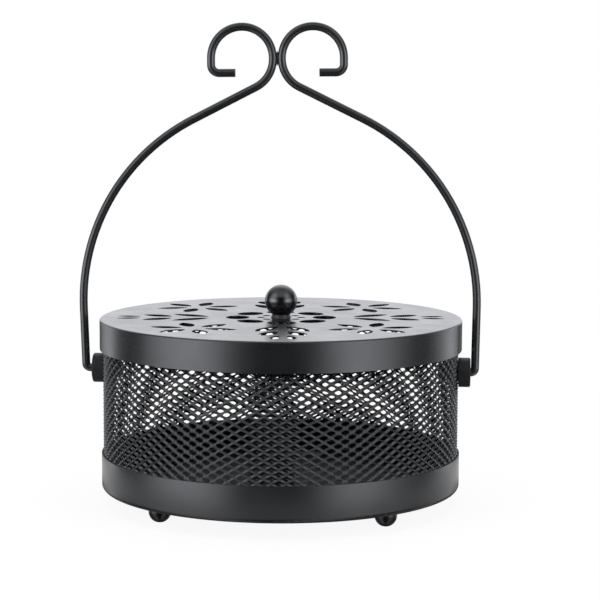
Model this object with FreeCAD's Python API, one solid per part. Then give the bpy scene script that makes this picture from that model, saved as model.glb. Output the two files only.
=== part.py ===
import FreeCAD, Part
import os
from math import cos, degrees, hypot, pi, radians, sin, sqrt, tan

# Mosquito coil holder: a pan on four ball feet, an expanded-metal wall, a pierced lid with a ball
# knob, and a bent wire bow that swings in two bushes. Millimetres, Z up, floor at Z = 0,
# the bow's pivot line along X.

# Round body, measured on the outside of the mesh wall
body_radius = 73.7
body_height = 70.35
mesh_sheet = 0.9
mesh_columns = 36
mesh_rows = 10
mesh_strand = 1.4
mesh_tuck = 2.6
seam_width = 19.6
seam_turn = -88.7
seam_gap = 0.1

# Base pan
pan_gap = 0.1
pan_sheet = 0.6
pan_depth = 14.7
pan_corner = 1.8

# Ball feet and the screws that hold them
foot_radius = 4.5
foot_height = 6.5
foot_flat = 0.3
foot_inset = 10.9
foot_count = 4
foot_turn = 45.0
foot_screw_radius = 1.5
foot_screw_depth = 3.2
foot_head_radius = 2.8
foot_head_height = 1.6
screw_gap = 0.1

# Hoop that binds the top edge of the mesh
hoop_wall = 0.35
hoop_height = 6.0
hoop_fit = 0.05
hoop_corner = 0.5

# Lid
lid_sheet = 0.5
lid_gap = 0.4
lid_seat_gap = 0.3
lid_depth = 12.3
lid_corner = 0.8
lid_turn = 4.8

# Piercing of the lid, in shares of its radius: a ring of round petals and dots, four flowers
# and four leaf sprigs, each with three pairs of leaves
ring_petals = 8
ring_petal_place_share = 0.24
ring_petal_length_share = 0.1307
ring_petal_width_share = 0.158
ring_dot_place_share = 0.112
ring_dot_radius_share = 0.0225
flower_count = 4
flower_turn = 45.0
flower_place_share = 0.6653
flower_petals = 6
flower_petal_place_share = 0.1507
flower_petal_length_share = 0.182
flower_petal_width_share = 0.08
sprig_count = 4
leaf_place_shares = [0.4987, 0.6827, 0.84]
leaf_offset_shares = [0.083, 0.075, 0.0427]
leaf_length_shares = [0.232, 0.179, 0.137]
leaf_width_shares = [0.084, 0.086, 0.052]
leaf_tilts = [30.0, 27.0, 8.0]

# Knob on the lid
knob_radius = 6.72
knob_rise = 0.28
knob_seat_radius = 3.6
collar_radius = 4.3
collar_height = 1.5
knob_screw_radius = 2.0
knob_screw_depth = 6.0
knob_head_radius = 3.6
knob_head_height = 2.2
knob_washer_radius = 5.4
knob_washer_sheet = 0.8

# Pivot bushes in the wall
bush_below_lid = 3.6
bush_radius = 6.1
bush_reach = 4.85
bush_seat_gap = 0.05
bush_shank_radius = 3.6
bush_shank_gap = 0.1
bush_shank_length = 5.6
bush_edge = 0.4
plate_width = 22.0
plate_height = 16.0
plate_sheet = 1.0
nut_sides = 6
nut_flats = 10.0
nut_height = 2.4
nut_gap = 0.05

# Bow of two bent wires, its lean and its slide in the bushes counted towards the left
wire_radius = 1.7
wire_fit = 0.05
wire_end_gap = 0.7
bow_lean = 0.57
bow_slide = 0.6
leg_bend = 1.8
leg_foot_gap = 0.7
leg_lean = 1.45
shoulder_height = 79.85
shoulder_radius = 85.0
roof_slope = 26.65
scroll_radius = 12.7
scroll_gap = 0.3
scroll_riser = 0.5
scroll_drop = 2.75
scroll_corner = 3.3
scroll_lip = 10.0
weld_length = 8.0
weld_radius = 1.5
weld_tip_radius = 0.5
push_nut_radius = 4.2
push_nut_sheet = 0.8
push_nut_rim = 0.9
push_nut_overhang = 0.8

# Stand for the coil, fixed to the middle of the pan
post_radius = 4.0
post_height = 12.0
star_arms = 3
star_arm_length = 17.0
star_arm_width = 6.0
star_hub_radius = 7.0
star_sheet = 0.8
star_lip = 2.4
stand_screw_radius = 1.5
stand_head_radius = 2.8
stand_head_height = 1.6
spike_radius = 2.4
spike_base = 2.0
spike_height = 10.0
spike_tip_radius = 0.3

# Cuts run past what they cut by this much, and runs shorter than this are left out
overrun = 2.0
shortest_run = 0.001

# Places that follow from the sizes above
pan_floor = foot_height + pan_sheet
pan_inner = body_radius + pan_gap
pan_radius = pan_inner + pan_sheet
pan_top = foot_height + pan_depth
pan_inner_corner = pan_corner - pan_sheet
foot_ring = pan_radius - foot_inset
mesh_inner = body_radius - mesh_sheet
mesh_low = pan_floor + pan_inner_corner
lid_top = foot_height + body_height
lid_under = lid_top - lid_sheet
hoop_outer = body_radius + hoop_fit + hoop_wall
hoop_inner = mesh_inner - hoop_fit - hoop_wall
hoop_top = lid_under - lid_seat_gap
hoop_low = hoop_top - hoop_height
mesh_top = hoop_top - hoop_wall - hoop_fit
lid_inner = hoop_outer + lid_gap
lid_radius = lid_inner + lid_sheet
lid_low = lid_top - lid_depth
mesh_open_low = pan_top - mesh_tuck
mesh_open_high = lid_low + mesh_tuck
seam_outer = mesh_inner - seam_gap
seam_inner = seam_outer - mesh_sheet
knob_seat = lid_top + collar_height
knob_bore = knob_screw_radius + screw_gap
pivot_z = lid_low - bush_below_lid - bush_radius
bush_face = body_radius + bush_reach
bush_end = body_radius - bush_shank_length
plate_outer = mesh_inner - bush_seat_gap
plate_inner = plate_outer - plate_sheet
push_nut_face = bush_end - wire_end_gap
star_low = pan_floor + post_height
star_top = star_low + star_sheet
stand_bore = stand_screw_radius + screw_gap

axis_x = FreeCAD.Vector(1, 0, 0)
axis_y = FreeCAD.Vector(0, 1, 0)
axis_z = FreeCAD.Vector(0, 0, 1)
origin = FreeCAD.Vector(0, 0, 0)
full_turn = 360.0
quarter_turn = 90.0

os.makedirs("parts", exist_ok=True)


def save(name, shape):
    shape.exportStep("parts/" + name + ".step")
    print(name, len(shape.Solids), round(shape.Volume, 1), shape.isValid())


def turned(shape, angle):
    copy = shape.copy()
    copy.rotate(origin, axis_z, angle)
    return copy


def rod(radius, length, base, direction=axis_z):
    return Part.makeCylinder(radius, length, base, direction)


def ring(outer, inner, low, high):
    return rod(outer, high - low, axis_z * low).cut(
        rod(inner, high - low + 2 * overrun, axis_z * (low - overrun))
    )


# Straight runs between corners, each corner rounded by its own radius
def rounded_edges(corners, closed):
    points = [FreeCAD.Vector(*place) for place, radius in corners]
    count = len(points)
    starts, ends, arcs = [], [], []
    for index, (_, radius) in enumerate(corners):
        here = points[index]
        inside = closed or 0 < index < count - 1
        if not inside or radius == 0:
            starts.append(here)
            ends.append(here)
            arcs.append(None)
            continue
        back = (points[index - 1] - here).normalize()
        ahead = (points[(index + 1) % count] - here).normalize()
        half = back.getAngle(ahead) / 2
        reach = radius / tan(half)
        middle = (back + ahead).normalize() * (radius / sin(half) - radius)
        starts.append(here + back * reach)
        ends.append(here + ahead * reach)
        arcs.append(Part.Arc(starts[-1], here + middle, ends[-1]).toShape())
    edges = []
    for index in range(count):
        if arcs[index]:
            edges.append(arcs[index])
        if index == count - 1 and not closed:
            break
        after = starts[(index + 1) % count]
        if ends[index].distanceToPoint(after) > shortest_run:
            edges.append(Part.LineSegment(ends[index], after).toShape())
    return edges


# Solid of revolution about Z from a closed outline of (radius, height, corner radius)
def revolved(outline):
    corners = [((radius, 0, height), corner) for radius, height, corner in outline]
    wire = Part.Wire(Part.__sortEdges__(rounded_edges(corners, True)))
    return Part.Face(wire).revolve(origin, axis_z, full_turn)


# Upright prism over a pointed leaf whose long way is X
def leaf_prism(length, width, low, high):
    tips = [FreeCAD.Vector(-length / 2, 0, low), FreeCAD.Vector(length / 2, 0, low)]
    sides = [FreeCAD.Vector(0, width / 2, low), FreeCAD.Vector(0, -width / 2, low)]
    edges = [Part.Arc(tips[0], side, tips[1]).toShape() for side in sides]
    return Part.Face(Part.Wire(Part.__sortEdges__(edges))).extrude(axis_z * (high - low))


# Corners of a regular polygon, the first one repeated at the end
def polygon_corners(radius, sides):
    angles = [radians(full_turn * number / sides) for number in range(sides + 1)]
    return [(radius * cos(angle), radius * sin(angle)) for angle in angles]


def moved(shape, x, y, angle=0):
    copy = turned(shape, angle)
    copy.translate(FreeCAD.Vector(x, y, 0))
    return copy


def mirrored_pair(name, shape):
    save(name + "_right", shape)
    save(name + "_left", shape.mirror(origin, axis_x))


def foot_places():
    for index in range(foot_count):
        angle = radians(foot_turn + full_turn / foot_count * index)
        yield foot_ring * cos(angle), foot_ring * sin(angle)


# Base pan, drawn from one sheet
def base_pan():
    shell = revolved([
        (0, foot_height, 0),
        (pan_radius, foot_height, pan_corner),
        (pan_radius, pan_top, 0),
        (pan_inner, pan_top, 0),
        (pan_inner, pan_floor, pan_inner_corner),
        (0, pan_floor, 0),
    ])
    hole_base = foot_height - overrun
    hole_length = pan_sheet + 2 * overrun
    foot_hole = rod(foot_screw_radius + screw_gap, hole_length, axis_z * hole_base)
    holes = [rod(stand_bore, hole_length, axis_z * hole_base)]
    holes += [moved(foot_hole, x, y) for x, y in foot_places()]
    return shell.cut(Part.makeCompound(holes))


# Ball feet, flat where they stand and where they meet the pan
def foot_ball():
    ball = Part.makeSphere(foot_radius, axis_z * (foot_radius - foot_flat))
    ball = ball.common(rod(foot_radius, foot_height, origin))
    hole_low = foot_height - foot_screw_depth - screw_gap
    return ball.cut(rod(foot_screw_radius, foot_height, axis_z * hole_low))


def foot_screws():
    shank_low = foot_height - foot_screw_depth
    shank = rod(foot_screw_radius, pan_floor - shank_low, axis_z * shank_low)
    screw = shank.fuse(rod(foot_head_radius, foot_head_height, axis_z * pan_floor)).removeSplitter()
    return Part.makeCompound([moved(screw, x, y) for x, y in foot_places()])


# Expanded-metal wall: the rolled sheet bends along its knuckles and lies flat between them,
# and its diamonds stand in staggered rows, centred on the bends
def mesh_polygon(corner_radius, low, high):
    corners = polygon_corners(corner_radius, 2 * mesh_columns)
    points = [FreeCAD.Vector(x, y, low) for x, y in corners]
    return Part.Face(Part.makePolygon(points)).extrude(axis_z * (high - low))


def mesh_ring(outer, inner, low, high):
    flat_to_corner = 1 / cos(radians(full_turn / mesh_columns / 4))
    core = mesh_polygon(inner * flat_to_corner, low - overrun, high + overrun)
    return mesh_polygon(outer, low, high).cut(core)


def diamond_cutters(radius, low, high, first, last):
    step = full_turn / mesh_columns
    half_width = pi * radius / mesh_columns
    pitch = (high - low) / (mesh_rows + 1)
    slack = mesh_strand / 2 * hypot(half_width, pitch) / (half_width * pitch)
    reach_x = half_width * (1 - slack)
    reach_z = pitch * (1 - slack)
    depth = mesh_sheet + 2 * overrun
    corners = [(0, reach_z), (reach_x, 0), (0, -reach_z), (-reach_x, 0), (0, reach_z)]
    cutters = []
    for row in range(mesh_rows):
        height = low + pitch * (row + 1)
        points = [FreeCAD.Vector(radius - depth, x, height + z) for x, z in corners]
        prism = Part.Face(Part.makePolygon(points)).extrude(axis_x * (2 * depth))
        for column in range(mesh_columns):
            angle = (column + row % 2 / 2) * step
            if first <= angle <= last:
                cutters.append(turned(prism, angle))
    return cutters


def bush_holes():
    length = 2 * (body_radius + overrun)
    base = FreeCAD.Vector(-length / 2, 0, pivot_z)
    return rod(bush_shank_radius + bush_shank_gap, length, base, axis_x)


def mesh_wall():
    sheet = mesh_ring(body_radius, mesh_inner, mesh_low, mesh_top)
    cutters = diamond_cutters(body_radius, mesh_open_low, mesh_open_high, 0, full_turn)
    return sheet.cut(Part.makeCompound(cutters)).cut(bush_holes())


# Lap where the two ends of the wall's sheet lie over each other, its diamonds half a column off
def mesh_seam():
    half_width = seam_width / 2
    sheet = mesh_ring(seam_outer, seam_inner, mesh_low, hoop_low - hoop_wall)
    corner = FreeCAD.Vector(0, -half_width, mesh_low)
    window = Part.makeBox(body_radius, seam_width, body_height, corner)
    strip = sheet.common(turned(window, seam_turn))
    half_angle = degrees(half_width / seam_outer)
    half_step = full_turn / mesh_columns / 2
    first = full_turn + seam_turn - half_angle - half_step
    last = full_turn + seam_turn + half_angle + half_step
    cutters = diamond_cutters(seam_outer, mesh_open_low, mesh_open_high, first, last)
    shifted = [turned(cutter, half_step) for cutter in cutters]
    return strip.cut(Part.makeCompound(shifted))


# Channel bent over the wall's top edge
def top_hoop():
    return revolved([
        (hoop_inner, hoop_low, 0),
        (hoop_inner + hoop_wall, hoop_low, 0),
        (hoop_inner + hoop_wall, hoop_top - hoop_wall, 0),
        (hoop_outer - hoop_wall, hoop_top - hoop_wall, 0),
        (hoop_outer - hoop_wall, hoop_low, 0),
        (hoop_outer, hoop_low, 0),
        (hoop_outer, hoop_top, hoop_corner),
        (hoop_inner, hoop_top, hoop_corner),
    ])


# Round petals and dots in a ring about the middle of the lid
def ring_piercings(low, high):
    length = ring_petal_length_share * lid_radius
    width = ring_petal_width_share * lid_radius
    oval = Part.Ellipse(axis_z * low, max(length, width) / 2, min(length, width) / 2)
    petal = Part.Face(Part.Wire(oval.toShape())).extrude(axis_z * (high - low))
    across = quarter_turn if width > length else 0
    petal = moved(petal, ring_petal_place_share * lid_radius, 0, across)
    dot = rod(ring_dot_radius_share * lid_radius, high - low, axis_z * low)
    dot = moved(dot, ring_dot_place_share * lid_radius, 0)
    angles = [index * full_turn / ring_petals for index in range(ring_petals)]
    return [turned(cutter, angle) for cutter in (petal, dot) for angle in angles]


# Flowers of pointed petals, standing between the sprigs
def flower_piercings(low, high):
    length = flower_petal_length_share * lid_radius
    petal = leaf_prism(length, flower_petal_width_share * lid_radius, low, high)
    petal = moved(petal, flower_petal_place_share * lid_radius, 0)
    turns = [index * full_turn / flower_petals for index in range(flower_petals)]
    petals = [moved(turned(petal, angle), flower_place_share * lid_radius, 0) for angle in turns]
    angles = [flower_turn + index * full_turn / flower_count for index in range(flower_count)]
    return [turned(cutter, angle) for cutter in petals for angle in angles]


# Sprigs of leaf pairs, each pair mirrored about the sprig's line
def sprig_piercings(low, high):
    leaves = []
    sizes = zip(leaf_place_shares, leaf_offset_shares, leaf_length_shares, leaf_width_shares)
    for (place, offset, length, width), tilt in zip(sizes, leaf_tilts):
        leaf = leaf_prism(length * lid_radius, width * lid_radius, low, high)
        for side in (1, -1):
            leaves.append(moved(leaf, place * lid_radius, side * offset * lid_radius, side * tilt))
    angles = [index * full_turn / sprig_count for index in range(sprig_count)]
    return [turned(leaf, angle) for leaf in leaves for angle in angles]


# Lid with its pierced top
def lid_cap():
    shell = revolved([
        (0, lid_under, 0),
        (lid_inner, lid_under, lid_corner - lid_sheet),
        (lid_inner, lid_low, 0),
        (lid_radius, lid_low, 0),
        (lid_radius, lid_top, lid_corner),
        (0, lid_top, 0),
    ])
    low = lid_under - overrun
    high = lid_top + overrun
    cutters = ring_piercings(low, high) + flower_piercings(low, high) + sprig_piercings(low, high)
    cutters.append(rod(knob_bore, high - low, axis_z * low))
    return turned(shell.cut(Part.makeCompound(cutters)), lid_turn)


# Knob, collar, and what holds them from below
def knob_ball():
    ball = Part.makeSphere(knob_radius, axis_z * (lid_top + knob_rise + knob_radius))
    ball = ball.cut(rod(knob_radius, collar_height, axis_z * lid_top))
    return ball.cut(rod(knob_screw_radius, knob_screw_depth, axis_z * knob_seat))


def knob_collar():
    return revolved([
        (knob_bore, lid_top, 0),
        (collar_radius, lid_top, 0),
        (knob_seat_radius, knob_seat, 0),
        (knob_bore, knob_seat, 0),
    ])


def knob_washer():
    return ring(knob_washer_radius, knob_bore, lid_under - knob_washer_sheet, lid_under)


def knob_screw():
    head_top = lid_under - knob_washer_sheet
    shank = rod(knob_screw_radius, knob_seat + knob_screw_depth - head_top, axis_z * head_top)
    head = rod(knob_head_radius, knob_head_height, axis_z * (head_top - knob_head_height))
    return shank.fuse(head).removeSplitter()


# Bush: a head saddled on the wall, a shank through it, and a bore for the wire
def pivot_bush():
    head = rod(bush_radius, bush_face, origin, axis_x)
    face_edges = [edge for edge in head.Edges if edge.BoundBox.XMin > bush_face - bush_edge]
    head = head.makeChamfer(bush_edge, face_edges)
    saddle_low = -bush_radius - overrun
    head = head.cut(rod(body_radius + bush_seat_gap, -2 * saddle_low, axis_z * saddle_low))
    shank_length = bush_face - bush_edge - bush_end
    body = head.fuse(rod(bush_shank_radius, shank_length, axis_x * bush_end, axis_x))
    body = body.cut(rod(wire_radius + wire_fit, bush_face, axis_x * (bush_end - overrun), axis_x))
    body.translate(axis_z * pivot_z)
    return body.removeSplitter()


# Plate curved to the wall behind the bush
def backing_plate():
    low = pivot_z - plate_height / 2
    curved = ring(plate_outer, plate_inner, low, low + plate_height)
    corner = FreeCAD.Vector(0, -plate_width / 2, low)
    window = Part.makeBox(body_radius, plate_width, plate_height, corner)
    return curved.common(window).cut(bush_holes())


# Nut on the bush's shank, its corners just clear of the curved plate
def bush_nut():
    nut_radius = nut_flats / 2 / cos(radians(full_turn / nut_sides / 2))
    nut_face = sqrt(plate_inner**2 - nut_radius**2) - nut_gap
    points = [FreeCAD.Vector(0, y, z) for y, z in polygon_corners(nut_radius, nut_sides)]
    prism = Part.Face(Part.makePolygon(points)).extrude(axis_x * nut_height)
    prism = prism.cut(rod(bush_shank_radius, nut_height + 2 * overrun, axis_x * -overrun, axis_x))
    prism.translate(FreeCAD.Vector(nut_face - nut_height, 0, pivot_z))
    return prism


# Bow wire on the right, its heights counted from the pivot line
wire_end = push_nut_face - push_nut_sheet - push_nut_overhang
leg_foot = bush_face + leg_foot_gap + leg_bend
shoulder_x = leg_foot + shoulder_height * tan(radians(leg_lean))
roof_rise = tan(radians(roof_slope))
scroll_centre_x = scroll_radius + wire_radius + scroll_gap / 2
scroll_inner_x = scroll_centre_x - scroll_radius
scroll_outer_x = scroll_centre_x + scroll_radius
roof_end_x = scroll_centre_x - scroll_radius * sin(radians(roof_slope))
roof_end_z = shoulder_height + (shoulder_x - roof_end_x) * roof_rise
scroll_low_z = roof_end_z + scroll_radius * cos(radians(roof_slope))
scroll_high_z = scroll_low_z + scroll_riser


# In through the bush, up the leg, over the shoulder, along the roof and round the scroll, as
# corners with their bend radii, those above the bush leaning inwards by an angle
def bow_corners(lean):
    lip_z = scroll_high_z - scroll_drop - scroll_corner
    upright = [
        (shoulder_x, shoulder_height, shoulder_radius),
        (scroll_inner_x, shoulder_height + (shoulder_x - scroll_inner_x) * roof_rise, scroll_radius),
        (scroll_inner_x, scroll_high_z + scroll_radius, scroll_radius),
        (scroll_outer_x, scroll_high_z + scroll_radius, scroll_radius),
        (scroll_outer_x, lip_z, scroll_corner),
        (scroll_outer_x - scroll_lip, lip_z, 0),
    ]
    side, rise = cos(radians(lean)), sin(radians(lean))
    leaning = [((x * side - z * rise, 0, x * rise + z * side), bend) for x, z, bend in upright]
    return [((wire_end, 0, 0), 0), ((leg_foot, 0, 0), leg_bend)] + leaning


def bow_wire(lean, slide):
    path = Part.Wire(rounded_edges(bow_corners(lean), False))
    section = Part.Wire(Part.Circle(axis_x * wire_end, axis_x, wire_radius).toShape())
    wire = path.makePipeShell([section], True, False)
    straight_volume = pi * wire_radius**2 * path.Length
    print("bow wire volume over section times length", wire.Volume / straight_volume)
    wire.translate(FreeCAD.Vector(-slide, 0, pivot_z))
    return wire


# Bead that joins the two scrolls where they meet
def scroll_weld(wires):
    centre_z = pivot_z + (scroll_low_z + scroll_high_z) / 2
    half = weld_length / 2
    bead = Part.makeCone(weld_tip_radius, weld_radius, half, axis_z * (centre_z - half))
    bead = bead.fuse(Part.makeCone(weld_radius, weld_tip_radius, half, axis_z * centre_z))
    bead.rotate(axis_z * pivot_z, axis_y, -bow_lean)
    bead.translate(axis_x * -bow_slide)
    for wire in wires:
        bead = bead.cut(wire)
    return bead


# Push-on nut that keeps the wire's end in the bush
def push_nut(slide):
    disc_base = push_nut_face - push_nut_sheet
    disc = rod(push_nut_radius, push_nut_sheet, axis_x * disc_base, axis_x)
    collar_base = axis_x * (disc_base - push_nut_overhang)
    collar = rod(wire_radius + push_nut_rim, push_nut_overhang, collar_base, axis_x)
    nut = disc.fuse(collar).cut(rod(wire_radius, body_radius, origin, axis_x))
    nut.translate(FreeCAD.Vector(-slide, 0, pivot_z))
    return nut.removeSplitter()


# Coil stand: post, star plate, spike and the screw from below the pan
def stand_post():
    return ring(post_radius, stand_bore, pan_floor, star_low)


def stand_star():
    side = -star_arm_width / 2
    arm = Part.makeBox(star_arm_length, star_arm_width, star_sheet, FreeCAD.Vector(0, side, star_low))
    lip_corner = FreeCAD.Vector(star_arm_length - star_sheet, side, star_low)
    arm = arm.fuse(Part.makeBox(star_sheet, star_arm_width, star_lip, lip_corner))
    hub = rod(star_hub_radius, star_sheet, axis_z * star_low)
    star = hub.multiFuse([turned(arm, index * full_turn / star_arms) for index in range(star_arms)])
    hole = rod(stand_bore, star_sheet + 2 * overrun, axis_z * (star_low - overrun))
    return star.cut(hole).removeSplitter()


def coil_spike():
    base = rod(spike_radius, spike_base, axis_z * star_top)
    point_base = axis_z * (star_top + spike_base)
    point = Part.makeCone(spike_radius, spike_tip_radius, spike_height - spike_base, point_base)
    return base.fuse(point).cut(rod(stand_screw_radius, spike_base, axis_z * star_top)).removeSplitter()


def stand_screw():
    shank = rod(stand_screw_radius, star_top + spike_base - foot_height, axis_z * foot_height)
    head = rod(stand_head_radius, stand_head_height, axis_z * (foot_height - stand_head_height))
    return shank.fuse(head).removeSplitter()


save("base_pan", base_pan())
foot = foot_ball()
for number, (x, y) in enumerate(foot_places(), 1):
    save("foot_" + str(number), moved(foot, x, y))
save("foot_screws", foot_screws())
save("mesh_wall", mesh_wall())
save("mesh_seam", mesh_seam())
save("top_hoop", top_hoop())
save("lid_cap", lid_cap())
save("knob_ball", knob_ball())
save("knob_collar", knob_collar())
save("knob_washer", knob_washer())
save("knob_screw", knob_screw())
mirrored_pair("pivot_bush", pivot_bush())
mirrored_pair("backing_plate", backing_plate())
mirrored_pair("bush_nut", bush_nut())
right_wire = bow_wire(bow_lean, bow_slide)
left_wire = bow_wire(-bow_lean, -bow_slide).mirror(origin, axis_x)
save("bow_wire_right", right_wire)
save("bow_wire_left", left_wire)
save("scroll_weld", scroll_weld([right_wire, left_wire]))
save("push_nut_right", push_nut(bow_slide))
save("push_nut_left", push_nut(-bow_slide).mirror(origin, axis_x))
save("stand_post", stand_post())
save("stand_star", stand_star())
save("coil_spike", coil_spike())
save("stand_screw", stand_screw())
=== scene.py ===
# Mosquito coil holder: looks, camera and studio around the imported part, all in metres.
import math

import bpy
from mathutils import Matrix, Vector


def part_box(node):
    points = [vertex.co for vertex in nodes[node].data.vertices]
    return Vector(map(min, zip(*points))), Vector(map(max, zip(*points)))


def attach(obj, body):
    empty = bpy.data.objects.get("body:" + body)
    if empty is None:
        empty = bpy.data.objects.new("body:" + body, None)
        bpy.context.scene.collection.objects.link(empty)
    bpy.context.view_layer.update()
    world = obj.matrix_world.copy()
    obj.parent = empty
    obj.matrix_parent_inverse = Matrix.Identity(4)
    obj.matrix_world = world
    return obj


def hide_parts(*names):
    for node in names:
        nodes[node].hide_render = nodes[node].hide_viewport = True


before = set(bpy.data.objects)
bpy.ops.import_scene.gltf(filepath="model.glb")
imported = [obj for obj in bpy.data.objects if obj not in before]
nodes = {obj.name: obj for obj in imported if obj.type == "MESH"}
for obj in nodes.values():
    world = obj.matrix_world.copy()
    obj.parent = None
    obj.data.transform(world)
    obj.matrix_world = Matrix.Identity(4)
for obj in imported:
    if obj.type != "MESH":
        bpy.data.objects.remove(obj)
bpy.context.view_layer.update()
mm = 0.001


# small helpers for the shader trees; place is only where a node lies in the editor
def addNode(tree, kind, place, **settings):
    node = tree.nodes.new(kind)
    node.location = place
    for key, value in settings.items():
        setattr(node, key, value)
    return node


def addRange(tree, place, span, **settings):
    node = addNode(tree, "ShaderNodeMapRange", place, **settings)
    node.inputs["From Min"].default_value = span[0]
    node.inputs["From Max"].default_value = span[1]
    return node


def addRamp(tree, place, stops, span):
    node = addNode(tree, "ShaderNodeValToRGB", place)
    elements = node.color_ramp.elements
    while len(elements) > 1:
        elements.remove(elements[-1])
    for index, (at, level) in enumerate(stops):
        position = (at - span[0]) / (span[1] - span[0])
        element = elements[0] if index == 0 else elements.new(position)
        element.position = position
        element.color = (level, level, level, 1.0)
    return node


def addBump(tree, look):
    bump = addNode(tree, "ShaderNodeBump", (300, -300))
    bump.inputs["Strength"].default_value = look["bumpStrength"]
    bump.inputs["Distance"].default_value = look["bumpDepth"]
    return bump


def wire(tree, source, target):
    tree.links.new(source, target)


def openGroup(name, inputs, outputs):
    tree = bpy.data.node_groups.new(name, "ShaderNodeTree")
    for label in inputs:
        tree.interface.new_socket(name=label, in_out="INPUT", socket_type="NodeSocketFloat")
    for label in outputs:
        tree.interface.new_socket(name=label, in_out="OUTPUT", socket_type="NodeSocketFloat")
    return tree, addNode(tree, "NodeGroupInput", (-900, 0)), addNode(tree, "NodeGroupOutput", (700, 0))


def placeGroup(tree, group, place, values):
    node = addNode(tree, "ShaderNodeGroup", place, node_tree=group)
    for label, value in values.items():
        node.inputs[label].default_value = value
    return node


def openMaterial(name):
    material = bpy.data.materials.new(name)
    material.use_nodes = True
    tree = material.node_tree
    tree.nodes.clear()
    return material, tree, addNode(tree, "ShaderNodeOutputMaterial", (900, 0))


# fine orange peel of stoved enamel over a slower sag of the film
skinGrain = {"peelDetail": 2.0, "sagDetail": 3.0, "sagSpan": (0.3, 0.7)}


def makeEnamelSkin():
    tree, given, out = openGroup(
        "enamelSkin",
        ["Peel Size", "Sag Size", "Sag Share", "Rough Low", "Rough High"],
        ["Height", "Roughness", "Film"])
    coords = addNode(tree, "ShaderNodeTexCoord", (-900, 300))
    peel = addNode(tree, "ShaderNodeTexNoise", (-600, 300))
    peel.inputs["Detail"].default_value = skinGrain["peelDetail"]
    sag = addNode(tree, "ShaderNodeTexNoise", (-600, 0))
    sag.inputs["Detail"].default_value = skinGrain["sagDetail"]
    blend = addNode(tree, "ShaderNodeMix", (-300, 200), data_type="FLOAT")
    spread = addRange(tree, (-300, -100), skinGrain["sagSpan"])
    wire(tree, coords.outputs["Object"], peel.inputs["Vector"])
    wire(tree, coords.outputs["Object"], sag.inputs["Vector"])
    wire(tree, given.outputs["Peel Size"], peel.inputs["Scale"])
    wire(tree, given.outputs["Sag Size"], sag.inputs["Scale"])
    wire(tree, given.outputs["Sag Share"], blend.inputs["Factor"])
    wire(tree, peel.outputs["Fac"], blend.inputs["A"])
    wire(tree, sag.outputs["Fac"], blend.inputs["B"])
    wire(tree, sag.outputs["Fac"], spread.inputs["Value"])
    wire(tree, given.outputs["Rough Low"], spread.inputs["To Min"])
    wire(tree, given.outputs["Rough High"], spread.inputs["To Max"])
    wire(tree, blend.outputs["Result"], out.inputs["Height"])
    wire(tree, spread.outputs["Result"], out.inputs["Roughness"])
    wire(tree, sag.outputs["Fac"], out.inputs["Film"])
    return tree


# specks of dust in soft patches, where a face looks up
dustGrain = {"speckSpan": (0.12, 0.05), "patchDetail": 4.0, "patchSpan": (0.42, 0.72)}


def makeSettledHaze():
    tree, given, out = openGroup(
        "settledHaze", ["Speck Size", "Haze Size", "Facing Up"], ["Specks", "Upward"])
    coords = addNode(tree, "ShaderNodeTexCoord", (-900, 300))
    surface = addNode(tree, "ShaderNodeNewGeometry", (-900, -300))
    parts = addNode(tree, "ShaderNodeSeparateXYZ", (-700, -300))
    upward = addNode(tree, "ShaderNodeMapRange", (-500, -300))
    specks = addNode(tree, "ShaderNodeTexVoronoi", (-600, 300))
    speckCut = addRange(tree, (-350, 300), dustGrain["speckSpan"])
    patches = addNode(tree, "ShaderNodeTexNoise", (-600, 50))
    patches.inputs["Detail"].default_value = dustGrain["patchDetail"]
    patchCut = addRange(tree, (-350, 50), dustGrain["patchSpan"])
    patchUp = addNode(tree, "ShaderNodeMath", (0, 50), operation="MULTIPLY")
    speckUp = addNode(tree, "ShaderNodeMath", (0, 300), operation="MULTIPLY")
    wire(tree, coords.outputs["Object"], specks.inputs["Vector"])
    wire(tree, coords.outputs["Object"], patches.inputs["Vector"])
    wire(tree, given.outputs["Speck Size"], specks.inputs["Scale"])
    wire(tree, given.outputs["Haze Size"], patches.inputs["Scale"])
    wire(tree, surface.outputs["Normal"], parts.inputs["Vector"])
    wire(tree, parts.outputs["Z"], upward.inputs["Value"])
    wire(tree, given.outputs["Facing Up"], upward.inputs["From Min"])
    wire(tree, specks.outputs["Distance"], speckCut.inputs["Value"])
    wire(tree, patches.outputs["Fac"], patchCut.inputs["Value"])
    wire(tree, patchCut.outputs["Result"], patchUp.inputs[0])
    wire(tree, upward.outputs["Result"], patchUp.inputs[1])
    wire(tree, speckCut.outputs["Result"], speckUp.inputs[0])
    wire(tree, patchUp.outputs["Value"], speckUp.inputs[1])
    wire(tree, upward.outputs["Result"], out.inputs["Upward"])
    wire(tree, speckUp.outputs["Value"], out.inputs["Specks"])
    return tree


enamelSkin = makeEnamelSkin()
settledHaze = makeSettledHaze()
print("shader groups: enamelSkin, settledHaze")


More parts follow.
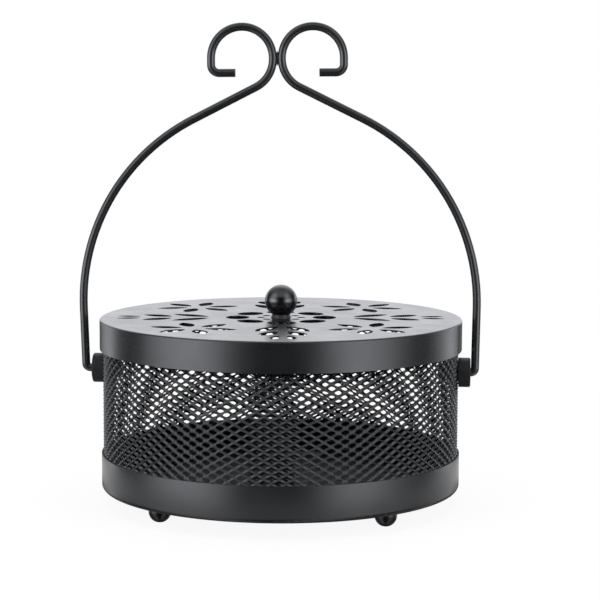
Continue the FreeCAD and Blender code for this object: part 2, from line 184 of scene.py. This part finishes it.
def makeEnamel(name, look):
    material, tree, out = openMaterial(name)
    paint = addNode(tree, "ShaderNodeBsdfPrincipled", (600, 0))
    paint.inputs["IOR"].default_value = look["ior"]
    skin = placeGroup(tree, enamelSkin, (-300, 100), {
        "Peel Size": look["peelSize"], "Sag Size": look["sagSize"], "Sag Share": look["sagShare"],
        "Rough Low": look["roughLow"], "Rough High": look["roughHigh"]})
    haze = placeGroup(tree, settledHaze, (-300, -200), {
        "Speck Size": look["speckSize"], "Haze Size": look["hazeSize"], "Facing Up": look["hazeFacing"]})
    colour = addNode(tree, "ShaderNodeMix", (0, 200), data_type="RGBA")
    colour.inputs["A"].default_value = look["deep"]
    colour.inputs["B"].default_value = look["thin"]
    dusted = addNode(tree, "ShaderNodeMix", (300, 200), data_type="RGBA")
    dusted.inputs["B"].default_value = look["dustColour"]
    amount = addNode(tree, "ShaderNodeMath", (0, -200), operation="MULTIPLY")
    amount.inputs[1].default_value = look["dustAmount"]
    bump = addBump(tree, look)
    wire(tree, skin.outputs["Film"], colour.inputs["Factor"])
    wire(tree, haze.outputs["Specks"], amount.inputs[0])
    wire(tree, amount.outputs["Value"], dusted.inputs["Factor"])
    wire(tree, colour.outputs["Result"], dusted.inputs["A"])
    wire(tree, dusted.outputs["Result"], paint.inputs["Base Color"])
    if look["ashFilm"] > 0:  # a dry film on what looks up
        film = addNode(tree, "ShaderNodeMath", (300, -100), operation="MULTIPLY_ADD", use_clamp=True)
        film.inputs[1].default_value = look["ashFilm"]
        wire(tree, haze.outputs["Upward"], film.inputs[0])
        wire(tree, skin.outputs["Roughness"], film.inputs[2])
        wire(tree, film.outputs["Value"], paint.inputs["Roughness"])
    else:
        wire(tree, skin.outputs["Roughness"], paint.inputs["Roughness"])
    wire(tree, skin.outputs["Height"], bump.inputs["Height"])
    wire(tree, bump.outputs["Normal"], paint.inputs["Normal"])
    wire(tree, paint.outputs["BSDF"], out.inputs["Surface"])
    return material


# blackened steel of the screws, nuts, washer and plates: fine grain and duller patches
def makeDarkSteel(name, look):
    material, tree, out = openMaterial(name)
    metal = addNode(tree, "ShaderNodeBsdfPrincipled", (600, 0))
    metal.inputs["Metallic"].default_value = 1.0
    skin = placeGroup(tree, enamelSkin, (-300, 100), {
        "Peel Size": look["grainSize"], "Sag Size": look["patchSize"], "Sag Share": look["patchShare"],
        "Rough Low": look["roughLow"], "Rough High": look["roughHigh"]})
    tint = addNode(tree, "ShaderNodeMix", (0, 200), data_type="RGBA")
    tint.inputs["A"].default_value = look["bright"]
    tint.inputs["B"].default_value = look["dull"]
    bump = addBump(tree, look)
    wire(tree, skin.outputs["Film"], tint.inputs["Factor"])
    wire(tree, tint.outputs["Result"], metal.inputs["Base Color"])
    wire(tree, skin.outputs["Roughness"], metal.inputs["Roughness"])
    wire(tree, skin.outputs["Height"], bump.inputs["Height"])
    wire(tree, bump.outputs["Normal"], metal.inputs["Normal"])
    wire(tree, metal.outputs["BSDF"], out.inputs["Surface"])
    return material


def varied(base, **changes):
    look = dict(base)
    look.update(changes)
    return look


sheetEnamelLook = {
    "ior": 1.5, "deep": (0.0054, 0.0060, 0.0072, 1.0), "thin": (0.0080, 0.0087, 0.0102, 1.0),
    "peelSize": 1100.0, "sagSize": 85.0, "sagShare": 0.3, "roughLow": 0.23, "roughHigh": 0.28,
    "speckSize": 900.0, "hazeSize": 55.0, "hazeFacing": 0.6, "dustColour": (0.20, 0.21, 0.22, 1.0),
    "dustAmount": 0.10, "ashFilm": 0.0, "bumpStrength": 0.22, "bumpDepth": 0.00006,
}
glossEnamelLook = varied(
    sheetEnamelLook, deep=(0.006, 0.006, 0.007, 1.0), thin=(0.008, 0.008, 0.009, 1.0),
    peelSize=700.0, bumpStrength=0.06, dustAmount=0.05)

panEnamel = makeEnamel("panEnamel", varied(sheetEnamelLook, ashFilm=0.45))
standEnamel = makeEnamel("standEnamel", varied(sheetEnamelLook, roughLow=0.45, roughHigh=0.6, ashFilm=0.3))
lidEnamel = makeEnamel("lidEnamel", varied(sheetEnamelLook, roughLow=0.24, roughHigh=0.29, bumpStrength=0.13))
meshEnamel = makeEnamel("meshEnamel", varied(
    sheetEnamelLook, roughLow=0.22, roughHigh=0.30, peelSize=1500.0, bumpStrength=0.15, dustAmount=0.0))
wireEnamel = makeEnamel("wireEnamel", varied(
    sheetEnamelLook, deep=(0.010, 0.0107, 0.012, 1.0), thin=(0.014, 0.0148, 0.0162, 1.0),
    roughLow=0.20, roughHigh=0.26, peelSize=1600.0, bumpStrength=0.14))
bushEnamel = makeEnamel("bushEnamel", varied(
    sheetEnamelLook, deep=(0.006, 0.0062, 0.0068, 1.0), thin=(0.009, 0.0093, 0.010, 1.0),
    ior=1.38, roughLow=0.48, roughHigh=0.58, peelSize=2200.0, bumpStrength=0.35))
knobGloss = makeEnamel("knobGloss", varied(glossEnamelLook, ior=1.6, roughLow=0.13, roughHigh=0.17))
collarEnamel = makeEnamel("collarEnamel", varied(
    sheetEnamelLook, roughLow=0.42, roughHigh=0.52, dustAmount=0.05))
footGloss = makeEnamel("footGloss", varied(glossEnamelLook, ior=1.38, roughLow=0.22, roughHigh=0.28))
darkSteel = makeDarkSteel("darkSteel", {
    "grainSize": 1800.0, "patchSize": 160.0, "patchShare": 0.4, "roughLow": 0.26, "roughHigh": 0.40,
    "bright": (0.12, 0.12, 0.125, 1.0), "dull": (0.07, 0.07, 0.075, 1.0),
    "bumpStrength": 0.2, "bumpDepth": 0.00004})

finishOfNode = {
    "base_pan": panEnamel, "mesh_wall": meshEnamel, "mesh_seam": meshEnamel,
    "top_hoop": lidEnamel, "lid_cap": lidEnamel,
    "knob_ball": knobGloss, "knob_collar": collarEnamel,
    "foot_1": footGloss, "foot_2": footGloss, "foot_3": footGloss, "foot_4": footGloss,
    "pivot_bush_right": bushEnamel, "pivot_bush_left": bushEnamel,
    "bow_wire_right": wireEnamel, "bow_wire_left": wireEnamel, "scroll_weld": wireEnamel,
    "stand_post": standEnamel, "stand_star": standEnamel, "coil_spike": standEnamel,
}
for nodeName, node in nodes.items():
    finish = finishOfNode.get(nodeName, darkSteel)
    for slot in node.material_slots:
        slot.material = finish
print("finishes: %d enamelled nodes, %d steel nodes" % (len(finishOfNode), len(nodes) - len(finishOfNode)))


# expanded metal: one rhombus cell per hole, each with a ring of sloping strand faces
meshSheet = {
    "columns": 80, "rowPitch": 1.725 * mm, "wallLow": 8.3 * mm, "wallHigh": 75.65 * mm,
    "backDrop": 0.24 * mm, "holeHalfWide": 1.95 * mm, "holeHalfTall": 1.08 * mm, "foldAngle": 42,
}
# turns in degrees, where the wall's two ends lap; shifts in columns and in pairs of rows
wallSheet = {"face": 73.18 * mm, "thick": 0.40 * mm, "tilt": 0.42 * mm, "turn": -88.7, "shift": (0, 0)}
seamSheet = {
    "face": 72.30 * mm, "thick": 0.34 * mm, "tilt": 0.294 * mm, "halfTurn": 7.6, "shift": (0.1, 0.13),
}

# eight points round a hole and the matching points on the cell's edge, counter-clockwise from the right
holeShape = [(1, 0), (0.54, 0.66), (0, 1), (-0.54, 0.66), (-1, 0), (-0.54, -0.66), (0, -1), (0.54, -0.66)]
cellShape = [(2, 0), (1, 1), (0, 2), (-1, 1), (-2, 0), (-1, -1), (0, -2), (1, -1)]
cellSteps = 4  # steps of the cell's grid in one column across, and in one pair of rows up
# how far each point of the hole stands proud of the face, in shares of the tilt
proudShape = [0, 1.2, 1, 1.2, 0, -1.2, -1, -1.2]


def expandedSheet(name, sheet, lowTurn, columns):
    spec = meshSheet
    face = sheet["face"]
    closed = columns == spec["columns"]
    stepTurn = 2 * math.pi / spec["columns"] / cellSteps
    stepRise = 2 * spec["rowPitch"] / cellSteps
    across = sheet["shift"][0] * cellSteps
    up = sheet["shift"][1] * cellSteps
    half = cellSteps // 2
    rows = int(round((spec["wallHigh"] - spec["wallLow"]) / spec["rowPitch"]))
    verts = []
    faces = []
    shared = {}

    def put(turn, height, radius, layer):
        height = min(max(height - layer * spec["backDrop"], spec["wallLow"]), spec["wallHigh"])
        verts.append((radius * math.cos(turn), radius * math.sin(turn), height))
        return len(verts) - 1

    def edgePoint(ix, iz, layer):
        if closed:
            ix %= cellSteps * columns
        key = (ix, iz, layer)
        if key not in shared:
            turn = lowTurn + (ix + across) * stepTurn
            height = spec["wallLow"] + (iz + up) * stepRise
            shared[key] = put(turn, height, face - layer * sheet["thick"], layer)
        return shared[key]

    for row in range(1, rows):
        for column in range(columns):
            cx = cellSteps * column + half * (row % 2 + 1)
            cz = half * row
            turn = lowTurn + (cx + across) * stepTurn
            height = spec["wallLow"] + (cz + up) * stepRise
            rings = []
            for layer in (0, 1):  # the face, then the back
                outer = [edgePoint(cx + dx, cz + dz, layer) for dx, dz in cellShape]
                inner = []
                for (hx, hz), proud in zip(holeShape, proudShape):
                    radius = face - layer * sheet["thick"] + proud * sheet["tilt"]
                    inner.append(put(turn + hx * spec["holeHalfWide"] / face,
                                     height + hz * spec["holeHalfTall"], radius, layer))
                rings.append((outer, inner))
            (outer, inner), (backOuter, backInner) = rings
            for i in range(len(holeShape)):
                j = (i + 1) % len(holeShape)
                faces.append((outer[i], outer[j], inner[j], inner[i]))
                faces.append((backOuter[j], backOuter[i], backInner[i], backInner[j]))
                faces.append((inner[i], inner[j], backInner[j], backInner[i]))
    mesh = bpy.data.meshes.new(name)
    mesh.from_pydata(verts, [], faces)
    mesh.validate()
    mesh.shade_smooth()
    mesh.set_sharp_from_angle(angle=math.radians(spec["foldAngle"]))
    piece = bpy.data.objects.new(name, mesh)
    bpy.context.scene.collection.objects.link(piece)
    piece.data.materials.append(meshEnamel)
    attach(piece, "body")
    print("%s: %d faces" % (name, len(mesh.polygons)))
    return piece


lapTurn = math.radians(wallSheet["turn"])
wallPiece = expandedSheet("expandedWall", wallSheet, lapTurn, meshSheet["columns"])
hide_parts("mesh_wall")
lapHalf = math.radians(seamSheet["halfTurn"])
lapColumns = int(lapHalf / math.pi * meshSheet["columns"])  # whole columns in the lap's width
seamPiece = expandedSheet("expandedSeam", seamSheet, lapTurn - lapHalf, lapColumns)
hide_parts("mesh_seam")


# slim rippled bead in the groove where the two scrolls meet
weldBead = {
    "halfLong": 3.0 * mm, "halfWide": 0.36 * mm, "halfDeep": 0.7 * mm, "lean": 0.57,
    "rings": 48, "sides": 20, "ripples": 7, "rippleShare": 0.03,
    "fullness": 4, "tipShare": 0.02,  # how late the ends round off, and what is left at their tips
}


def buildWeldBead():
    spec = weldBead
    low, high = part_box("scroll_weld")
    middle = [(a + b) / 2 for a, b in zip(low, high)]
    rise = math.tan(math.radians(spec["lean"]))
    sides = spec["sides"]
    verts = []
    for ring in range(spec["rings"] + 1):
        along = -1 + 2 * ring / spec["rings"]
        swell = math.sqrt(max(1 - along ** spec["fullness"], spec["tipShare"]))
        swell *= 1 + spec["rippleShare"] * math.sin(along * math.pi * spec["ripples"])
        for side in range(sides):
            turn = 2 * math.pi * side / sides
            verts.append((
                middle[0] - along * spec["halfLong"] * rise + spec["halfWide"] * swell * math.cos(turn),
                middle[1] + spec["halfDeep"] * swell * math.sin(turn),
                middle[2] + along * spec["halfLong"]))
    faces = []
    for ring in range(spec["rings"]):
        start = ring * sides
        for side in range(sides):
            after = (side + 1) % sides
            faces.append((start + side, start + after, start + sides + after, start + sides + side))
    faces.append(tuple(reversed(range(sides))))
    faces.append(tuple(range(len(verts) - sides, len(verts))))
    mesh = bpy.data.meshes.new("weldBead")
    mesh.from_pydata(verts, [], faces)
    mesh.shade_smooth()
    bead = bpy.data.objects.new("weldBead", mesh)
    bpy.context.scene.collection.objects.link(bead)
    mesh.materials.append(wireEnamel)
    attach(bead, "bow")
    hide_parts("scroll_weld")
    print("weldBead: %d faces" % len(mesh.polygons))


buildWeldBead()


# camera at the photograph's place and angle: heading and pitch in degrees, roll in radians
cameraSpec = {
    "place": (0.0567, -0.7989, 0.1761), "heading": 3.5, "pitch": 6.55, "roll": 0.0045,
    "lens": 116.65, "sensor": 36.0, "near": 0.01, "far": 50.0,
}
cameraData = bpy.data.cameras.new("photoCamera")
cameraData.lens = cameraSpec["lens"]
cameraData.sensor_width = cameraSpec["sensor"]
cameraData.clip_start = cameraSpec["near"]
cameraData.clip_end = cameraSpec["far"]
photoCamera = bpy.data.objects.new("photoCamera", cameraData)
bpy.context.scene.collection.objects.link(photoCamera)
photoCamera.matrix_world = (
    Matrix.Translation(cameraSpec["place"])
    @ Matrix.Rotation(math.radians(cameraSpec["heading"]), 4, "Z")
    @ Matrix.Rotation(math.radians(90 - cameraSpec["pitch"]), 4, "X")
    @ Matrix.Rotation(cameraSpec["roll"], 4, "Z"))
bpy.context.scene.camera = photoCamera
print("camera placed")


# white studio: gloss sees soft boxes, dark flags and the backdrop by direction, everything else a plain level
studio = {
    "plainLevel": 0.62, "coolTone": (0.935, 0.955, 1.0, 1.0),
    # degrees from the front (-Y) toward the right (+X), against brightness: boxes and flags, then backdrop
    "around": [(-180, 0.2), (-156, 0.2), (-141, 0.8), (-131, 2.0), (-122, 0.6), (-114, 0.25), (-103, 0.12),
               (-94, 0.3), (-82, 2.4), (-64, 4.8), (-48, 5.2), (-35, 3.2), (-24, 0.6), (-12, 0.04),
               (18, 0.04), (27, 0.8), (42, 4.0), (56, 4.7), (71, 3.0), (86, 1.0), (98, 0.15), (112, 0.3),
               (126, 1.3), (139, 1.9), (148, 0.7), (158, 0.3), (180, 0.2)],
    "backdropAround": [(-180, 1.43), (-160, 1.43), (-138, 0.0), (138, 0.0), (160, 1.43), (180, 1.43)],
    # sine of elevation against the share of those two
    "upright": [(-1.0, 0.25), (-0.3, 0.25), (-0.15, 1.03), (0.14, 1.03), (0.3, 0.5), (0.5, 0.46),
                (0.68, 0.25), (0.88, 0.0)],
    "backdropRise": [(-1.0, 0.0), (-0.04, 0.0), (0.03, 1.0), (0.75, 1.0), (1.0, 0.0)],
    # sine of elevation against brightness: the sheet overhead, and the strip in front that fades in by facing
    "overhead": [(-1.0, 0.0), (0.4, 0.0), (0.6, 0.4), (0.75, 0.8), (0.9, 1.0), (1.0, 0.7)],
    "frontStrip": [(-1.0, 0.0), (0.42, 0.0), (0.54, 0.4), (0.70, 0.4), (0.80, 0.0), (1.0, 0.0)],
    "stripFacing": (0.1, 0.4),
}
turnSpan = (-180, 180)
riseSpan = (-1, 1)


def buildStudioWorld():
    world = bpy.data.worlds.new("studio")
    bpy.context.scene.world = world
    world.use_nodes = True
    world.cycles.sampling_method = "NONE"
    tree = world.node_tree
    tree.nodes.clear()

    # the direction, as a turn and a rise
    coords = addNode(tree, "ShaderNodeTexCoord", (-1400, 0))
    parts = addNode(tree, "ShaderNodeSeparateXYZ", (-1200, 0))
    front = addNode(tree, "ShaderNodeMath", (-1000, -100), operation="MULTIPLY")
    front.inputs[1].default_value = -1.0
    turn = addNode(tree, "ShaderNodeMath", (-800, 0), operation="ARCTAN2")
    share = addRange(tree, (-600, 0), (-math.pi, math.pi))
    rise = addRange(tree, (-600, -300), riseSpan)
    wire(tree, coords.outputs["Generated"], parts.inputs["Vector"])
    wire(tree, parts.outputs["Y"], front.inputs[0])
    wire(tree, parts.outputs["X"], turn.inputs[0])
    wire(tree, front.outputs["Value"], turn.inputs[1])
    wire(tree, turn.outputs["Value"], share.inputs["Value"])
    wire(tree, parts.outputs["Z"], rise.inputs["Value"])

    # boxes and flags
    aroundRamp = addRamp(tree, (-400, 100), studio["around"], turnSpan)
    uprightRamp = addRamp(tree, (-400, -200), studio["upright"], riseSpan)
    boxes = addNode(tree, "ShaderNodeMath", (-100, 0), operation="MULTIPLY")
    wire(tree, share.outputs["Result"], aroundRamp.inputs["Fac"])
    wire(tree, rise.outputs["Result"], uprightRamp.inputs["Fac"])
    wire(tree, aroundRamp.outputs["Color"], boxes.inputs[0])
    wire(tree, uprightRamp.outputs["Color"], boxes.inputs[1])

    # the sheet overhead and the strip in front
    overheadRamp = addRamp(tree, (-400, -450), studio["overhead"], riseSpan)
    stripRamp = addRamp(tree, (-400, -700), studio["frontStrip"], riseSpan)
    facing = addRange(tree, (-600, -900), studio["stripFacing"])
    strip = addNode(tree, "ShaderNodeMath", (-100, -700), operation="MULTIPLY")
    above = addNode(tree, "ShaderNodeMath", (0, -400), operation="ADD")
    wire(tree, rise.outputs["Result"], overheadRamp.inputs["Fac"])
    wire(tree, rise.outputs["Result"], stripRamp.inputs["Fac"])
    wire(tree, front.outputs["Value"], facing.inputs["Value"])
    wire(tree, stripRamp.outputs["Color"], strip.inputs[0])
    wire(tree, facing.outputs["Result"], strip.inputs[1])
    wire(tree, overheadRamp.outputs["Color"], above.inputs[0])
    wire(tree, strip.outputs["Value"], above.inputs[1])

    # the backdrop, and all of them together
    behindRamp = addRamp(tree, (-400, 400), studio["backdropAround"], turnSpan)
    behindRise = addRamp(tree, (-400, 700), studio["backdropRise"], riseSpan)
    backdrop = addNode(tree, "ShaderNodeMath", (-100, 600), operation="MULTIPLY")
    both = addNode(tree, "ShaderNodeMath", (100, 0), operation="ADD")
    whole = addNode(tree, "ShaderNodeMath", (220, 0), operation="ADD")
    wire(tree, share.outputs["Result"], behindRamp.inputs["Fac"])
    wire(tree, rise.outputs["Result"], behindRise.inputs["Fac"])
    wire(tree, behindRamp.outputs["Color"], backdrop.inputs[0])
    wire(tree, behindRise.outputs["Color"], backdrop.inputs[1])
    wire(tree, boxes.outputs["Value"], both.inputs[0])
    wire(tree, above.outputs["Value"], both.inputs[1])
    wire(tree, both.outputs["Value"], whole.inputs[0])
    wire(tree, backdrop.outputs["Value"], whole.inputs[1])

    # gloss sees them, camera and glass plain white, the rest the plain level
    path = addNode(tree, "ShaderNodeLightPath", (-100, 400))
    direct = addNode(tree, "ShaderNodeMath", (100, 400), operation="MAXIMUM")
    glossOrPlain = addNode(tree, "ShaderNodeMix", (350, 100), data_type="FLOAT")
    glossOrPlain.inputs["A"].default_value = studio["plainLevel"]
    level = addNode(tree, "ShaderNodeMix", (550, 200), data_type="FLOAT")
    level.inputs["B"].default_value = 1.0
    tone = addNode(tree, "ShaderNodeMix", (550, -100), data_type="RGBA")
    tone.inputs["A"].default_value = (1.0, 1.0, 1.0, 1.0)
    tone.inputs["B"].default_value = studio["coolTone"]
    back = addNode(tree, "ShaderNodeBackground", (750, 100))
    out = addNode(tree, "ShaderNodeOutputWorld", (950, 100))
    wire(tree, path.outputs["Is Camera Ray"], direct.inputs[0])
    wire(tree, path.outputs["Is Transmission Ray"], direct.inputs[1])
    wire(tree, path.outputs["Is Glossy Ray"], glossOrPlain.inputs["Factor"])
    wire(tree, whole.outputs["Value"], glossOrPlain.inputs["B"])
    wire(tree, direct.outputs["Value"], level.inputs["Factor"])
    wire(tree, glossOrPlain.outputs["Result"], level.inputs["A"])
    wire(tree, path.outputs["Is Glossy Ray"], tone.inputs["Factor"])
    wire(tree, level.outputs["Result"], back.inputs["Strength"])
    wire(tree, tone.outputs["Result"], back.inputs["Color"])
    wire(tree, back.outputs["Background"], out.inputs["Surface"])


buildStudioWorld()

# lamps aimed at the holder's middle, that camera and gloss don't see
softLamps = {
    "left": {"place": (-1.25, -0.95, 0.85), "size": 0.9, "watts": 9.0},
    "right": {"place": (1.35, -0.85, 0.80), "size": 0.9, "watts": 8.0},
    "above": {"place": (0.0, 0.1, 1.9), "size": 1.4, "watts": 16.0},
}
lampAim = Vector((0, 0, 0.06))
for lampName, spec in softLamps.items():
    lampData = bpy.data.lights.new(lampName + "Lamp", "AREA")
    lampData.shape = "SQUARE"
    lampData.size = spec["size"]
    lampData.energy = spec["watts"]
    lamp = bpy.data.objects.new(lampName + "Lamp", lampData)
    bpy.context.scene.collection.objects.link(lamp)
    lamp.location = spec["place"]
    lamp.rotation_euler = (lampAim - Vector(spec["place"])).to_track_quat("-Z", "Y").to_euler()
    lamp.visible_camera = False
    lamp.visible_glossy = False
print("studio lit")

floorSpec = {
    "reach": 4.0, "sides": 64, "white": 0.93,
    # how much of the lit floor, with its shadow, the camera sees in the plain white; fades by metres outward
    "shadowShare": 0.08, "shadowSpan": (0.10, 0.32),
    # painted reflection for gloss: a glowing ring stands in for the lit floor, and its clear middle is the
    # holder's painted shadow; by metres from the middle
    "gleam": 0.9, "gleamFrom": (0.088, 0.108), "gleamTo": (0.128, 0.150),
}


def buildFloor():
    spec = floorSpec
    sides = spec["sides"]
    verts = [(0, 0, 0)]
    for i in range(sides):
        turn = 2 * math.pi * i / sides
        verts.append((spec["reach"] * math.cos(turn), spec["reach"] * math.sin(turn), 0))
    mesh = bpy.data.meshes.new("floor")
    mesh.from_pydata(verts, [], [(0, 1 + i, 1 + (i + 1) % sides) for i in range(sides)])
    floor = bpy.data.objects.new("floor", mesh)
    bpy.context.scene.collection.objects.link(floor)
    material, tree, out = openMaterial("whiteFloor")
    path = addNode(tree, "ShaderNodeLightPath", (-200, 300))
    coords = addNode(tree, "ShaderNodeTexCoord", (-800, 100))
    away = addNode(tree, "ShaderNodeVectorMath", (-600, 100), operation="LENGTH")
    wire(tree, coords.outputs["Object"], away.inputs[0])

    # for the camera: plain white with a little of the lit floor in it
    fade = addRange(tree, (-400, 100), spec["shadowSpan"], interpolation_type="SMOOTHSTEP")
    fade.inputs["To Min"].default_value = 1 - spec["shadowShare"]
    share = addNode(tree, "ShaderNodeMath", (100, 300), operation="MULTIPLY")
    cloth = addNode(tree, "ShaderNodeBsdfDiffuse", (0, 0))
    cloth.inputs["Color"].default_value = (spec["white"],) * 3 + (1.0,)
    glow = addNode(tree, "ShaderNodeEmission", (0, -200))
    glow.inputs["Strength"].default_value = 1.0
    mix = addNode(tree, "ShaderNodeMixShader", (300, 0))
    wire(tree, away.outputs["Value"], fade.inputs["Value"])
    wire(tree, path.outputs["Is Camera Ray"], share.inputs[0])
    wire(tree, fade.outputs["Result"], share.inputs[1])
    wire(tree, share.outputs["Value"], mix.inputs["Fac"])
    wire(tree, cloth.outputs["BSDF"], mix.inputs[1])
    wire(tree, glow.outputs["Emission"], mix.inputs[2])

    # for gloss: painted reflection, a glowing ring of lit floor with the holder's painted shadow as its clear
    # middle, clear outside it too
    inner = addRange(tree, (-400, -300), spec["gleamFrom"], interpolation_type="SMOOTHSTEP")
    outer = addRange(tree, (-400, -550), spec["gleamTo"], interpolation_type="SMOOTHSTEP")
    outer.inputs["To Min"].default_value = 1.0
    outer.inputs["To Max"].default_value = 0.0
    ring = addNode(tree, "ShaderNodeMath", (-200, -400), operation="MULTIPLY")
    clear = addNode(tree, "ShaderNodeBsdfTransparent", (0, -350))
    # painted floor glow, seen only in reflections
    lit = addNode(tree, "ShaderNodeEmission", (0, -500))
    lit.inputs["Strength"].default_value = spec["gleam"]
    gloss = addNode(tree, "ShaderNodeMixShader", (200, -350))
    seen = addNode(tree, "ShaderNodeMixShader", (450, 0))
    wire(tree, away.outputs["Value"], inner.inputs["Value"])
    wire(tree, away.outputs["Value"], outer.inputs["Value"])
    wire(tree, inner.outputs["Result"], ring.inputs[0])
    wire(tree, outer.outputs["Result"], ring.inputs[1])
    wire(tree, ring.outputs["Value"], gloss.inputs["Fac"])
    wire(tree, clear.outputs["BSDF"], gloss.inputs[1])
    wire(tree, lit.outputs["Emission"], gloss.inputs[2])
    wire(tree, path.outputs["Is Glossy Ray"], seen.inputs["Fac"])
    wire(tree, mix.outputs["Shader"], seen.inputs[1])
    wire(tree, gloss.outputs["Shader"], seen.inputs[2])
    wire(tree, seen.outputs["Shader"], out.inputs["Surface"])
    mesh.materials.append(material)


buildFloor()
bpy.context.scene.view_settings.view_transform = "Standard"
print("floor laid")
